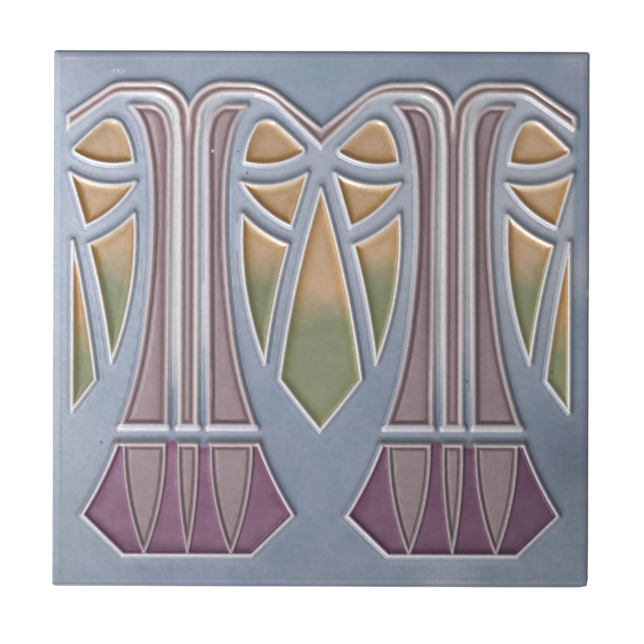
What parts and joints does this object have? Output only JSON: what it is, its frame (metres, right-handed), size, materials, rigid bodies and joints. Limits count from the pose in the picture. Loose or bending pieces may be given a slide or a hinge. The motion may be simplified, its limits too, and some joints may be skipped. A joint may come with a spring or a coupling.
{
  "type": "art nouveau wall tile",
  "caption": "Square glazed relief wall tile with a raised-line stylised plant design in blue, mauve, ochre, green and plum.",
  "frame": {"origin": "centre of the underside, on the plane that the back rests on", "axes": "+Z out of the glazed face, +Y towards the top of the design, +X to the right of the design; the tile lies flat, face up"},
  "size_m": [0.152, 0.152, 0.01],
  "materials": {
    "glazed_earthenware": "glossy transparent majolica glazes over a moulded earthenware body"
  },
  "bodies": {
    "root": {"tile": "glazed_earthenware"}
  },
  "joints": []
}
